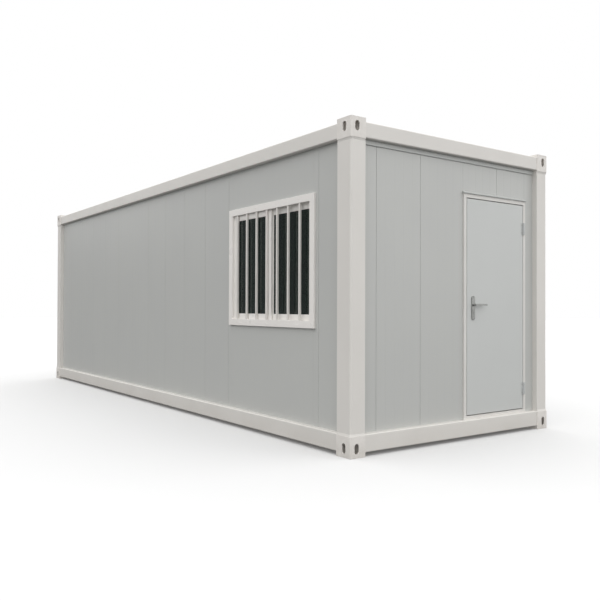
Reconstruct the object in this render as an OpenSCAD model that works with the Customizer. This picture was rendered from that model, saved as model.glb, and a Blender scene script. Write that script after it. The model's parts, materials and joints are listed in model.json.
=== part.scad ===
// Flat-pack container cabin: a bolted steel frame with sandwich-panel walls, one door and one window.
// X runs across the cabin, Y along it and Z up. The origin is on the ground under the middle.
// The door is in the end wall that faces -Y, and the window in the long wall that faces -X.

/* [Cabin] */
// Length over the corner castings
cabin_l = 7335; // [6000:5:9100]
// Width over the corner castings
cabin_w = 2435; // [2400:5:3000]
// Height over the corner castings
cabin_h = 2591; // [2500:1:3110]

/* [Corner castings] */
// Length of a casting along the cabin
casting_l = 170; // [150:1:230]
// Width of a casting across the cabin
casting_w = 150; // [145:1:185]
// Height of a bottom casting
bottom_casting_h = 165; // [150:1:200]
// Height of a top casting
top_casting_h = 160; // [150:1:200]
// Thickness of a casting's walls
casting_t = 10; // [6:1:14]
// Radius of a casting's outer vertical edge
casting_r = 12; // [4:1:20]
// How far the castings stand out from the posts and beams
casting_proud = 6; // [3:1:12]
// Width of an oval slot
slot_w = 44; // [30:1:54]
// Height of an oval slot
slot_h = 78; // [56:1:94]
// Distance from a side slot's middle to the casting's outer end
slot_from_end = 70; // [62:1:80]
// Distance from the corner to the slot in a casting's short face
slot_x = 64; // [60:1:80]
// Distance from the corner to the slot in a casting's long face
slot_y = 80; // [60:1:110]

/* [Posts and beams] */
// Wall of the post's tube
post_t = 4; // [3:0.5:6]
// Radius of the post's outer vertical edge
post_r = 16; // [8:1:36]
// Thickness of the beams' folded steel
beam_t = 4; // [3:0.5:6]
// Outer radius of the beams' rolled edges
beam_r = 10; // [7:1:16]
// Depth of the beams, from the outer face inwards
beam_depth = 140; // [125:1:145]
// Height of the lips that close the beams' inner side
beam_lip = 30; // [15:1:45]
// Height of the bottom beams
bottom_beam_h = 140; // [120:1:170]
// Gap between the ground and the bottom beams
ground_gap = 32; // [10:1:50]
// Height of the top beams
top_beam_h = 124; // [100:1:150]
// How far the top castings stand above the top beams
roof_drop = 28; // [22:1:40]

/* [Floor and roof] */
// Width of a joist
joist_w = 60; // [40:1:80]
// Height of a floor joist
floor_joist_h = 120; // [100:1:120]
// Wall of a joist
joist_t = 3; // [2:0.5:4]
// Largest clear distance between the floor joists
floor_joist_pitch = 540; // [400:10:700]
// Largest clear distance between the roof joists
roof_joist_pitch = 720; // [500:10:900]
// Thickness of the floor board
floor_t = 18; // [12:1:25]
// Thickness of the sheet under the floor
underside_t = 1; // [0.6:0.2:2]
// Thickness of the ceiling board
ceiling_t = 10; // [6:1:20]
// Thickness of the roof sheet
roof_t = 1.5; // [0.8:0.1:2]
// Height of the roof sheet's ribs
rib_h = 18; // [10:1:19]
// Distance from rib to rib
rib_pitch = 250; // [150:10:333]
// Width of a rib's top
rib_top = 25; // [15:1:40]
// Width of a rib at the sheet
rib_foot = 55; // [42:1:80]
// How far the roof sheet's edge stays in from the castings' faces
roof_edge = 64; // [20:1:100]

/* [Walls] */
// Thickness of the wall panels
wall_t = 50; // [40:1:60]
// How far the walls lie behind the beams' faces
wall_recess = 50; // [45:1:70]
// Nominal width of a long wall's panel
long_panel = 484; // [450:1:1200]
// Nominal width of an end wall's panel
end_panel = 485; // [450:5:1000]
// Width of an end wall's first panel, beside the post
end_first_panel = 157; // [60:1:300]
// Width of a long wall's first panel, beside the front post
long_first_panel = 303; // [150:1:320]
// Visible gap between two panels
seam = 2; // [1:0.5:4]
// How far a panel's tongue reaches past its edge
tongue = 12; // [8:1:16]
// Thickness of a tongue
tongue_t = 16; // [10:1:20]
// Clearance between a board and what stands beside it
fit_gap = 2; // [1:0.5:4]
// Height of the trim strip under an end wall's top beam
trim_h = 38; // [20:1:60]
// Thickness of the trim strip
trim_t = 10; // [4:1:15]

/* [Door] */
// Distance from the left castings' face to the door frame
door_x = 1311; // [700:1:1340]
// Width of the door frame
door_frame_w = 848; // [700:1:900]
// Top of the door frame above the ground
door_top = 2134; // [1900:1:2160]
// Width of a jamb's face
jamb_w = 31; // [30:1:60]
// Height of the frame's head
head_h = 35; // [25:1:60]
// How far the door frame stands out from the wall
door_proud = 14; // [8:1:16]
// Height of the sill
sill_h = 28; // [20:1:45]
// Thickness of the door leaf
leaf_t = 44; // [36:1:46]
// Gap around the door leaf
leaf_gap = 7; // [6:0.5:9]
// Gap between the leaf's back and the stop
stop_gap = 6; // [5:0.5:7]
// Width of the stop
stop_w = 15; // [10:1:20]
// Height of the drip cap over the door
drip_h = 20; // [10:1:30]
// How far the drip cap stands out from the wall
drip_out = 25; // [14:1:40]
// How far the drip cap reaches past the frame at each end
drip_over = 10; // [0:1:30]

/* [Hinges] */
// Radius of a hinge knuckle
knuckle_r = 7; // [6:0.5:9]
// Radius of a hinge pin
hinge_pin_r = 3.5; // [2.5:0.1:4.5]
// Running clearance around a hinge pin
pin_gap = 0.08; // [0.03:0.01:0.1]
// Height of a hinge
hinge_h = 112; // [80:1:140]
// Distance from the sill to the middle of the lower hinge
lower_hinge = 191; // [120:1:300]
// Distance from the frame's head to the middle of the upper hinge
upper_hinge = 223; // [120:1:300]
// Width of a hinge plate past its knuckle
hinge_plate_w = 20; // [16:1:24]
// Thickness of a hinge plate
hinge_plate_t = 3; // [2:0.5:4]
// Gap between two knuckles, along the pin
knuckle_gap = 0.6; // [0.3:0.1:1]

/* [Lever handle] */
// Distance from the leaf's free edge to the lever's axis
lever_backset = 76; // [50:1:90]
// Height of the lever's axis above the sill
lever_height = 966; // [850:1:1100]
// Width of a lock plate
plate_w = 38; // [34:1:55]
// Height of a lock plate
plate_h = 211; // [160:1:240]
// Height of the lever's axis above the lock plate's lower end
plate_axis = 133; // [90:1:150]
// Thickness of a lock plate
plate_t = 8; // [5:1:9]
// Radius of the lever's neck
neck_r = 9; // [7:0.5:11]
// Running clearance around the neck
neck_gap = 0.1; // [0.05:0.01:0.2]
// Length of the neck in front of its plate
neck_l = 21; // [18:1:28]
// Length of the lever, from its axis to its tip
lever_l = 146; // [110:1:160]
// Thickness of the lever's bar
bar_t = 12; // [9:1:14]
// Height of the lever's bar
bar_h = 16; // [12:1:24]
// Side of the square spindle
spindle = 8; // [7:1:10]
// Radius of the spindle's hole in the leaf
spindle_hole_r = 12; // [10:1:16]

/* [Window] */
// Distance from the front castings' face to the window casing
window_y = 510; // [500:1:700]
// Width of the window casing
window_w = 1376; // [900:1:1600]
// Bottom of the window casing above the ground
window_z = 966; // [800:1:1100]
// Height of the window casing
window_h = 1109; // [800:1:1200]
// Width of the casing's face
casing_w = 62; // [50:1:70]
// How far the casing covers the wall's edge
casing_lap = 30; // [20:1:35]
// How far the casing stands out from the wall
casing_proud = 22; // [15:1:30]
// How far the casing stands into the room
casing_inside = 8; // [5:1:15]
// Thickness of a window bar
bar = 19; // [16:1:30]
// Number of window bars
bar_count = 7; // [5:1:9]
// Distance from the casing's near edge to the first bar's middle
bar_near = 148; // [60:1:200]
// Distance from the last bar's middle to the casing's far edge
bar_far = 88; // [60:1:200]
// How far the bars lie behind the casing's face
bar_set = 3; // [1:1:6]
// Width of a sash's frame
sash_w = 42; // [30:1:55]
// Thickness of a sash
sash_t = 18; // [14:1:19]
// Gap between the bars and the outer sash, and between the sashes
sash_gap = 3; // [2:0.5:5]
// How far the two sashes overlap
sash_lap = 42; // [30:1:55]
// Thickness of the glass
glass_t = 5; // [4:1:8]

/* [Hidden] */
$fn = 48;
e = 1; // how far a cut runs past a face

frame_white = "#d6d3ce";
wall_grey = "#b4b7b7";
leaf_grey = "#c2c5c6";
trim_white = "#dedbd6";
steel = "#8e9194";

half_w = cabin_w / 2;
half_l = cabin_l / 2;

// Heights
floor_z = ground_gap + bottom_beam_h; // top of the bottom beams, where walls and floor stand
roof_z = cabin_h - roof_drop; // top of the top beams
head_z = roof_z - top_beam_h; // underside of the top beams, where the walls end
post_z = bottom_casting_h;
post_h = cabin_h - bottom_casting_h - top_casting_h;

// Depths behind the castings' outer faces
wall_out = casting_proud + wall_recess; // outer face of the walls
wall_in = wall_out + wall_t; // inner face of the walls
beam_in = casting_proud + beam_depth; // inner side of the beams

// Sizes of the posts, whose inner sides line up with the castings'
post_w = casting_w - casting_proud;
post_l = casting_l - casting_proud;

// Door
frame_y = wall_out - door_proud; // front face of the door frame and the leaf
sill_z = floor_z + sill_h;
leaf_x = door_x + jamb_w + leaf_gap;
leaf_w = door_frame_w - 2 * jamb_w - 2 * leaf_gap;
leaf_z = sill_z + leaf_gap;
leaf_h = door_top - head_h - leaf_gap - leaf_z;
leaf_back = frame_y + leaf_t;
hinge_x = leaf_x + leaf_w + leaf_gap / 2;
hinge_y = frame_y - knuckle_r;
hinge_zs = [sill_z + lower_hinge - hinge_h / 2, door_top - head_h - upper_hinge - hinge_h / 2];
knuckle_h = hinge_h / 3;
finger = knuckle_r + 1; // where a hinge plate's full height begins, measured from the pin
lever_x = leaf_x + lever_backset;
lever_z = sill_z + lever_height;
strike_h = 120;
strike_t = 2;
strike_w = 24;

// Window
hole_y0 = window_y + casing_lap;
hole_y1 = window_y + window_w - casing_lap;
hole_z0 = window_z + casing_lap;
hole_z1 = window_z + window_h - casing_lap;
light_y = window_y + casing_w;
light_z = window_z + casing_w;
light_w = window_w - 2 * casing_w;
light_h = window_h - 2 * casing_w;
casing_front = wall_out - casing_proud;
bar_front = casing_front + bar_set;
outer_sash = bar_front + bar + sash_gap;
inner_sash = outer_sash + sash_t + sash_gap;
window_sash_w = (light_w + sash_lap) / 2;
bar_step = (light_w - bar_near - bar_far) / (bar_count - 1);

// Panel edges along a wall, from a to b, with seams every step from first
function edges(a, b, first, step) =
    concat([a], [for (k = [0:40]) let (u = first + k * step) if (u > a + 40 && u < b - 40) u], [b]);

long_span = cabin_l - 2 * casting_l;
long_end = cabin_l - casting_l;
long_first = casting_l + long_first_panel;
long_count = floor((cabin_l - casting_l - long_first) / long_panel);
long_third = long_first + long_panel * floor(long_count * 0.3);
long_two_thirds = long_first + long_panel * ceil(long_count * 0.6);
end_first = casting_w + end_first_panel;
end_right = cabin_w - casting_w;
end_middle = end_first + end_panel * floor((cabin_w / 2 - end_first) / end_panel + 0.5);
door_right = door_x + door_frame_w;

// The four sides. In each, x runs along the wall from its left or front corner and y goes inwards.
module on_front() { translate([-half_w, -half_l, 0]) children(); }
module on_back() { mirror([0, 1, 0]) on_front() children(); }
module on_left() { translate([-half_w, -half_l, 0]) mirror([1, -1, 0]) children(); }
module on_right() { mirror([1, 0, 0]) on_left() children(); }
module at_corner(right, back) {
    mirror([right, 0, 0]) mirror([0, back, 0]) translate([-half_w, -half_l, 0]) children();
}

// Plan of a corner piece, with its outer corner rounded
module corner_plan(w, l, r) {
    translate([r, 0]) square([w - r, l]);
    translate([0, r]) square([w, l - r]);
    translate([r, r]) circle(r);
}

// An upright oval slot through a wall of depth d, cut along +Y from y = -e
module slot(d) {
    translate([0, d, 0]) rotate([90, 0, 0]) linear_extrude(d + e) {
        square([slot_w, slot_h - slot_w], center = true);
        for (s = [-1, 1]) translate([0, s * (slot_h - slot_w) / 2]) circle(slot_w / 2);
    }
}

// A hollow casting of height h with its outer end at z = 0 and slots in that end and two faces
module casting(h) difference() {
    linear_extrude(h) corner_plan(casting_w, casting_l, casting_r);
    translate([casting_t, casting_t, casting_t])
        cube([casting_w - 2 * casting_t, casting_l - 2 * casting_t, h - 2 * casting_t]);
    translate([slot_x, 0, slot_from_end]) slot(casting_t + e);
    mirror([1, -1, 0]) translate([slot_y, 0, slot_from_end]) slot(casting_t + e);
    translate([casting_w / 2, casting_l / 2, 0]) rotate([90, 0, 0]) slot(casting_t + e);
}

module bottom_castings() color(frame_white)
    for (i = [0, 1], j = [0, 1]) at_corner(i, j) casting(bottom_casting_h);

module top_castings() color(frame_white)
    for (i = [0, 1], j = [0, 1]) at_corner(i, j) translate([0, 0, cabin_h])
        mirror([0, 0, 1]) casting(top_casting_h);

module post(right, back) color(frame_white)
    at_corner(right, back) translate([casting_proud, casting_proud, post_z]) linear_extrude(post_h)
        difference() {
            corner_plan(post_w, post_l, post_r);
            translate([post_t, post_t])
                corner_plan(post_w - 2 * post_t, post_l - 2 * post_t, post_r - post_t);
        }

module post_front_left() post(0, 0);
module post_front_right() post(1, 0);
module post_back_left() post(0, 1);
module post_back_right() post(1, 1);

// A rectangle of depth d and height h whose two corners at x = 0 are rounded
module rolled(d, h, r) {
    translate([r, 0]) square([d - r, h]);
    translate([0, r]) square([d, h - 2 * r]);
    for (z = [r, h - r]) translate([r, z]) circle(r);
}

// A folded C beam of length l and height h, open inwards between its lips
module beam(l, h) translate([0, casting_proud, 0]) rotate([90, 0, 90]) linear_extrude(l) difference() {
    rolled(beam_depth, h, beam_r);
    translate([beam_t, beam_t]) rolled(beam_depth - 2 * beam_t, h - 2 * beam_t, beam_r - beam_t);
    translate([beam_depth - beam_t - e, beam_lip]) square([beam_t + 2 * e, h - 2 * beam_lip]);
}

module end_beam(z, h) translate([casting_w, 0, z]) beam(cabin_w - 2 * casting_w, h);
module side_beam(z, h) translate([casting_l, 0, z]) beam(long_span, h);

module bottom_beam_front() color(frame_white) on_front() end_beam(ground_gap, bottom_beam_h);
module bottom_beam_back() color(frame_white) on_back() end_beam(ground_gap, bottom_beam_h);
module bottom_beam_left() color(frame_white) on_left() side_beam(ground_gap, bottom_beam_h);
module bottom_beam_right() color(frame_white) on_right() side_beam(ground_gap, bottom_beam_h);
module top_beam_front() color(frame_white) on_front() end_beam(head_z, top_beam_h);
module top_beam_back() color(frame_white) on_back() end_beam(head_z, top_beam_h);
module top_beam_left() color(frame_white) on_left() side_beam(head_z, top_beam_h);
module top_beam_right() color(frame_white) on_right() side_beam(head_z, top_beam_h);

// Joists across the cabin between the side beams' lips, evenly spaced no further than pitch
module joists(pitch, h, top) {
    inner_l = cabin_l - 2 * beam_in;
    count = floor(inner_l / (pitch + joist_w));
    step = inner_l / (count + 1);
    for (k = [1:count])
        translate([-half_w + beam_in, -half_l + beam_in + k * step - joist_w / 2, top - h]) difference() {
            cube([cabin_w - 2 * beam_in, joist_w, h]);
            translate([-e, joist_t, joist_t])
                cube([cabin_w - 2 * beam_in + 2 * e, joist_w - 2 * joist_t, h - 2 * joist_t]);
        }
}

module floor_joists() color(steel) joists(floor_joist_pitch, floor_joist_h, floor_z);
module roof_joists() color(steel) joists(roof_joist_pitch, top_beam_h, roof_z);

// Room for the four corner posts and castings, from z upwards
module corner_notches(z, h) for (i = [0, 1], j = [0, 1])
    at_corner(i, j) translate([0, 0, z - e])
        cube([casting_w + fit_gap, casting_l + fit_gap, h + 2 * e]);

// A flat board that stops short of the given depth, cut clear of the corners
module board(depth, t, z) difference() {
    inset = depth + fit_gap;
    translate([-half_w + inset, -half_l + inset, z])
        cube([cabin_w - 2 * inset, cabin_l - 2 * inset, t]);
    corner_notches(z, t);
}

module floor_board() color("#9a9388") board(wall_in, floor_t, floor_z);
module ceiling_board() color("#e2e1dd") board(wall_in, ceiling_t, head_z - ceiling_t);
module floor_underside() color(steel)
    board(beam_in, underside_t, floor_z - floor_joist_h - underside_t);

// Folded sheet with ribs across the cabin, notched around the castings
module roof_sheet() color("#c9ccce") {
    sheet_l = cabin_l - 2 * roof_edge;
    count = floor(sheet_l / rib_pitch);
    start = -count * rib_pitch / 2;
    slope = (rib_foot - rib_top) / 2;
    top_line = concat([[-sheet_l / 2, 0]],
        [for (k = [0:count - 1], p = [[0, 0], [slope, rib_h], [slope + rib_top, rib_h], [rib_foot, 0]])
            [start + (k + 0.5) * rib_pitch - rib_foot / 2 + p[0], p[1]]],
        [[sheet_l / 2, 0]]);
    last = len(top_line) - 1;
    outline = concat([for (p = top_line) [p[0], p[1] + roof_t]], [for (i = [last:-1:0]) top_line[i]]);
    difference() {
        translate([-half_w + roof_edge, 0, roof_z]) rotate([90, 0, 90])
            linear_extrude(cabin_w - 2 * roof_edge) polygon(outline);
        corner_notches(roof_z, rib_h + roof_t);
    }
}

// A row of panels between the given edges, joined by tongues, from z0 to z1
module panel_row(marks, z0, z1) {
    last = len(marks) - 2;
    h = z1 - z0;
    for (i = [0:last]) {
        a = marks[i] + (i > 0 ? seam / 2 : 0);
        b = marks[i + 1] - (i < last ? seam / 2 : 0);
        translate([0, wall_out, z0]) difference() {
            union() {
                translate([a, 0, 0]) cube([b - a, wall_t, h]);
                if (i < last) translate([b - e, (wall_t - tongue_t) / 2, 0]) cube([tongue + e, tongue_t, h]);
            }
            if (i > 0) translate([a - e, (wall_t - tongue_t) / 2 - 0.5, -e])
                cube([tongue + e, tongue_t + 1, h + 2 * e]);
        }
    }
}

module long_panels(a, b) panel_row(edges(a, b, long_first, long_panel), floor_z, head_z);
module end_panels(a, b, z0 = floor_z) panel_row(edges(a, b, end_first, end_panel), z0, head_z);

module left_wall_front() color(wall_grey) on_left()
    panel_row([casting_l, long_first, hole_y0], floor_z, head_z);
module left_wall_under_window() color(wall_grey) on_left()
    panel_row([hole_y0, hole_y1], floor_z, hole_z0);
module left_wall_over_window() color(wall_grey) on_left()
    panel_row([hole_y0, hole_y1], hole_z1, head_z);
module left_wall_middle() color(wall_grey) on_left() long_panels(hole_y1, long_two_thirds);
module left_wall_back() color(wall_grey) on_left() long_panels(long_two_thirds, long_end);
module right_wall_front() color(wall_grey) on_right() long_panels(casting_l, long_third);
module right_wall_middle() color(wall_grey) on_right() long_panels(long_third, long_two_thirds);
module right_wall_back() color(wall_grey) on_right() long_panels(long_two_thirds, long_end);
module back_wall_left() color(wall_grey) on_back() end_panels(casting_w, end_middle);
module back_wall_right() color(wall_grey) on_back() end_panels(end_middle, end_right);
module front_wall_left() color(wall_grey) on_front() end_panels(casting_w, door_x);
module front_wall_over_door() color(wall_grey) on_front() end_panels(door_x, door_right, door_top);
module front_wall_right() color(wall_grey) on_front() end_panels(door_right, end_right);

module trim() translate([casting_w, wall_out - trim_t, head_z - trim_h])
    cube([end_right - casting_w, trim_t, trim_h]);
module wall_trims() color(trim_white) {
    on_front() trim();
    on_back() trim();
}

// Two jambs and a head, with a stop behind the leaf and a pocket for the strike plate
module door_frame() color(trim_white) on_front() difference() {
    depth = wall_in - frame_y;
    opening = door_frame_w - 2 * jamb_w;
    stop_y = leaf_back + stop_gap;
    h = door_top - floor_z;
    translate([door_x, frame_y, floor_z]) cube([door_frame_w, depth, h]);
    translate([door_x + jamb_w, frame_y - e, floor_z - e]) cube([opening, stop_y - frame_y + e, h - head_h + e]);
    translate([door_x + jamb_w + stop_w, frame_y, floor_z - e])
        cube([opening - 2 * stop_w, depth + e, h - head_h - stop_w + e]);
    translate([door_x + jamb_w - stop_w, stop_y - e, floor_z - e])
        cube([opening + 2 * stop_w, depth, sill_h + e]);
    strike_pocket();
}

module strike_pocket() translate([door_x + jamb_w - strike_t, frame_y + (leaf_t - strike_w) / 2,
    lever_z - strike_h / 2]) cube([strike_t, strike_w, strike_h]);

module strike_plate() color(steel) on_front() strike_pocket();

module door_sill() color(steel) on_front() translate([door_x + jamb_w, frame_y, floor_z])
    cube([door_frame_w - 2 * jamb_w, wall_in - frame_y, sill_h]);

module drip_cap() color(trim_white) on_front()
    translate([door_x - drip_over, wall_out - drip_out, door_top])
        cube([door_frame_w + 2 * drip_over, drip_out, drip_h]);

// The fixed half of each hinge: a plate on the jamb, two knuckles and the pin
module frame_hinges() color(steel) on_front() for (z = hinge_zs) translate([hinge_x, hinge_y, z]) {
    plate_y = knuckle_r - hinge_plate_t;
    translate([finger, plate_y, 0]) cube([hinge_plate_w, hinge_plate_t, hinge_h]);
    for (k = [0, 2]) translate([0, 0, k * knuckle_h]) {
        translate([0, plate_y, 0]) cube([finger + e, hinge_plate_t, knuckle_h]);
        cylinder(r = knuckle_r, h = knuckle_h);
    }
    cylinder(r = hinge_pin_r, h = hinge_h);
}

// The moving half of each hinge: a plate on the leaf and the middle knuckle
module door_hinges() color(steel) on_front() for (z = hinge_zs) translate([hinge_x, hinge_y, z]) difference() {
    plate_y = knuckle_r - hinge_plate_t;
    mid_h = knuckle_h - 2 * knuckle_gap;
    union() {
        translate([-finger - hinge_plate_w, plate_y, 0]) cube([hinge_plate_w, hinge_plate_t, hinge_h]);
        translate([-finger - e, plate_y, knuckle_h + knuckle_gap]) cube([finger + e, hinge_plate_t, mid_h]);
        translate([0, 0, knuckle_h + knuckle_gap]) cylinder(r = knuckle_r, h = mid_h);
    }
    translate([0, 0, -e]) cylinder(r = hinge_pin_r + pin_gap, h = hinge_h + 2 * e);
}

module door_leaf() color(leaf_grey) on_front() difference() {
    translate([leaf_x, frame_y, leaf_z]) cube([leaf_w, leaf_t, leaf_h]);
    translate([lever_x, frame_y - e, lever_z]) rotate([-90, 0, 0])
        cylinder(r = spindle_hole_r, h = leaf_t + 2 * e);
}

// A lock plate with round ends and a hole for the lever's neck, lying against y = 0 and reaching to -y
module lock_plate() rotate([90, 0, 0]) linear_extrude(plate_t) difference() {
    r = plate_w / 2;
    union() {
        translate([-r, r - plate_axis]) square([plate_w, plate_h - plate_w]);
        for (y = [r - plate_axis, plate_h - plate_axis - r]) translate([0, y]) circle(r);
    }
    circle(neck_r + neck_gap);
}

module lock_plates() color(steel) on_front() {
    translate([lever_x, frame_y, lever_z]) lock_plate();
    translate([lever_x, leaf_back, lever_z]) mirror([0, 1, 0]) lock_plate();
}

// Half a lever: its neck and bar in front of the plate's back at y = 0, reaching to -y
module lever_half() {
    reach = plate_t + neck_l;
    rotate([90, 0, 0]) cylinder(r = neck_r, h = reach + bar_t);
    translate([0, -reach - bar_t, -bar_h / 2]) cube([lever_l - bar_h / 2, bar_t, bar_h]);
    translate([lever_l - bar_h / 2, -reach, 0]) rotate([90, 0, 0]) cylinder(r = bar_h / 2, h = bar_t);
    translate([0, -reach, 0]) rotate([90, 0, 0]) cylinder(r = bar_h / 2, h = bar_t);
}

module door_lever() color(steel) on_front() {
    translate([lever_x, frame_y, lever_z]) lever_half();
    translate([lever_x, leaf_back, lever_z]) mirror([0, 1, 0]) lever_half();
    translate([lever_x - spindle / 2, frame_y - e, lever_z - spindle / 2])
        cube([spindle, leaf_t + 2 * e, spindle]);
}

// A ring of the window: outer box from u0, z0 with size w by h, and a hole with border b, from y0 to y1
module ring(u0, z0, w, h, b, y0, y1) difference() {
    translate([u0, y0, z0]) cube([w, y1 - y0, h]);
    translate([u0 + b, y0 - e, z0 + b]) cube([w - 2 * b, y1 - y0 + 2 * e, h - 2 * b]);
}

// The casing laps over the wall outside and inside and lines the hole between
module window_frame() color(trim_white) on_left() {
    ring(window_y, window_z, window_w, window_h, casing_w, casing_front, wall_out);
    ring(hole_y0, hole_z0, hole_y1 - hole_y0, hole_z1 - hole_z0, casing_w - casing_lap, casing_front, wall_in);
    ring(window_y, window_z, window_w, window_h, casing_w, wall_in, wall_in + casing_inside);
}

module window_bars() color(trim_white) on_left() for (k = [1:bar_count])
    translate([light_y + bar_near + bar_step * (k - 1) - bar / 2, bar_front, light_z])
        cube([bar, bar, light_h]);

module window_sash_near() color(trim_white) on_left()
    ring(light_y, light_z, window_sash_w, light_h, sash_w, inner_sash, inner_sash + sash_t);
module window_sash_far() color(trim_white) on_left()
    ring(light_y + light_w - window_sash_w, light_z, window_sash_w, light_h, sash_w,
        outer_sash, outer_sash + sash_t);

module pane(u0, y0) translate([u0 + sash_w, y0 + (sash_t - glass_t) / 2, light_z + sash_w])
    cube([window_sash_w - 2 * sash_w, glass_t, light_h - 2 * sash_w]);
module window_glass() color("#2a3230") on_left() {
    pane(light_y, inner_sash);
    pane(light_y + light_w - window_sash_w, outer_sash);
}

bottom_castings();
top_castings();
post_front_left();
post_front_right();
post_back_left();
post_back_right();
bottom_beam_front();
bottom_beam_back();
bottom_beam_left();
bottom_beam_right();
top_beam_front();
top_beam_back();
top_beam_left();
top_beam_right();
floor_joists();
floor_board();
floor_underside();
roof_joists();
roof_sheet();
ceiling_board();
left_wall_front();
left_wall_under_window();
left_wall_over_window();
left_wall_middle();
left_wall_back();
right_wall_front();
right_wall_middle();
right_wall_back();
back_wall_left();
back_wall_right();
front_wall_left();
front_wall_over_door();
front_wall_right();
wall_trims();
door_frame();
door_sill();
drip_cap();
strike_plate();
frame_hinges();
door_leaf();
door_hinges();
lock_plates();
door_lever();
window_frame();
window_bars();
window_sash_near();
window_sash_far();
window_glass();
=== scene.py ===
import json
from math import pi, radians

import bpy
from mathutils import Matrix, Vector


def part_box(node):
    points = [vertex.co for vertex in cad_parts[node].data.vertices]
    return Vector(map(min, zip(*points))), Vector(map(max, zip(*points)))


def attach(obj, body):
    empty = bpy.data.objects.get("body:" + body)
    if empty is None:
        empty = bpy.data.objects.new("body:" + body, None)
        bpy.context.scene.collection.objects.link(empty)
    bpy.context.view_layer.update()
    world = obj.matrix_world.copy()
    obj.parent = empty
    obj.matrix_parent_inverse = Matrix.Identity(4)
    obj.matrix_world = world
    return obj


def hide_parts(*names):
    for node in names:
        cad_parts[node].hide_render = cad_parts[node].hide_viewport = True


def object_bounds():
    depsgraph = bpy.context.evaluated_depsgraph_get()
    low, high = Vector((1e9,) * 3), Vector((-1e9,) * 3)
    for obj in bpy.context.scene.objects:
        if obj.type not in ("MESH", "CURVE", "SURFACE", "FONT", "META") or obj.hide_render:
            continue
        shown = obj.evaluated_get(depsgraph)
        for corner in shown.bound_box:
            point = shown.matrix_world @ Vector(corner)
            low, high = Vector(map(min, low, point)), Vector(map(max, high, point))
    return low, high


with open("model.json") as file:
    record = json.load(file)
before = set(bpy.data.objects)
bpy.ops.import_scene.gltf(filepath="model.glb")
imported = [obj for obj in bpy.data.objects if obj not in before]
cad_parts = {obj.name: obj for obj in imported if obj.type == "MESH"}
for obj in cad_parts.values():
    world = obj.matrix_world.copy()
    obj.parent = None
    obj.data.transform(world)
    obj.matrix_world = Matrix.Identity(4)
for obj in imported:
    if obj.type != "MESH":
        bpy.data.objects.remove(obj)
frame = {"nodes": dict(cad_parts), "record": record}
cadLow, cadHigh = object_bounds()
mm = 0.001
tiny = 0.05 * mm  # how near a face has to lie to a place to be picked


def deselectAll():
    if bpy.context.mode != "OBJECT":
        bpy.ops.object.mode_set(mode="OBJECT")
    bpy.ops.object.select_all(action="DESELECT")


def makeActive(piece):
    deselectAll()
    piece.select_set(True)
    bpy.context.view_layer.objects.active = piece


def applyPlace(piece):
    makeActive(piece)
    bpy.ops.object.transform_apply(location=True, rotation=True, scale=True)


def startBox(name, low, high):
    deselectAll()
    middle = [(a + b) / 2 for a, b in zip(low, high)]
    bpy.ops.mesh.primitive_cube_add(size=1, location=middle, scale=[b - a for a, b in zip(low, high)])
    piece = bpy.context.object
    piece.name = piece.data.name = name
    applyPlace(piece)
    return piece


# A cylinder whose axis is "X", "Y" or "Z"
def startCylinder(name, middle, radius, length, axis="Z", sides=32):
    deselectAll()
    turn = {"X": (0, pi / 2, 0), "Y": (pi / 2, 0, 0), "Z": (0, 0, 0)}[axis]
    bpy.ops.mesh.primitive_cylinder_add(
        vertices=sides, radius=radius, depth=length, location=middle, rotation=turn)
    piece = bpy.context.object
    piece.name = piece.data.name = name
    applyPlace(piece)
    return piece


# Goes into edit mode with only the faces, edges or points selected that pass the test.
# The test gets the middle of each, and a face's normal or an edge's direction.
def pick(piece, kind, test):
    makeActive(piece)
    bpy.ops.object.mode_set(mode="EDIT")
    bpy.ops.mesh.select_mode(type=kind)
    bpy.ops.mesh.select_all(action="DESELECT")
    bpy.ops.object.mode_set(mode="OBJECT")
    mesh = piece.data
    if kind == "FACE":
        for face in mesh.polygons:
            face.select = bool(test(face.center, face.normal))
    else:
        for edge in mesh.edges:
            a, b = (mesh.vertices[i].co for i in edge.vertices)
            edge.select = bool(test((a + b) / 2, (b - a).normalized()))
    bpy.ops.object.mode_set(mode="EDIT")


def leaveEdit():
    bpy.ops.mesh.select_all(action="SELECT")
    bpy.ops.mesh.normals_make_consistent(inside=False)
    bpy.ops.object.mode_set(mode="OBJECT")


# Cuts new edges round the piece where the planes across the axis at the given places meet it
def cutAcross(piece, axis, places):
    pick(piece, "FACE", lambda middle, normal: True)
    across = [float(i == axis) for i in range(3)]
    for place in places:
        bpy.ops.mesh.select_all(action="SELECT")
        bpy.ops.mesh.bisect(plane_co=[place * a for a in across], plane_no=across)
    bpy.ops.object.mode_set(mode="OBJECT")


# A frame round an opening: a box whose two faces across the axis are inset and bridged
def startRing(name, low, high, border, axis):
    piece = startBox(name, low, high)
    pick(piece, "FACE", lambda middle, normal: abs(normal[axis]) > 0.9)
    bpy.ops.mesh.inset(thickness=border)
    bpy.ops.mesh.bridge_edge_loops()
    leaveEdit()
    return piece


def modify(piece, kind, **settings):
    makeActive(piece)
    modifier = piece.modifiers.new(kind.lower(), kind)
    for name, value in settings.items():
        setattr(modifier, name, value)
    bpy.ops.object.modifier_apply(modifier=modifier.name)


def soften(piece, width, segments=2, angle=35):
    modify(piece, "BEVEL", width=width, segments=segments, limit_method="ANGLE",
           angle_limit=radians(angle), miter_outer="MITER_ARC")


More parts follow.
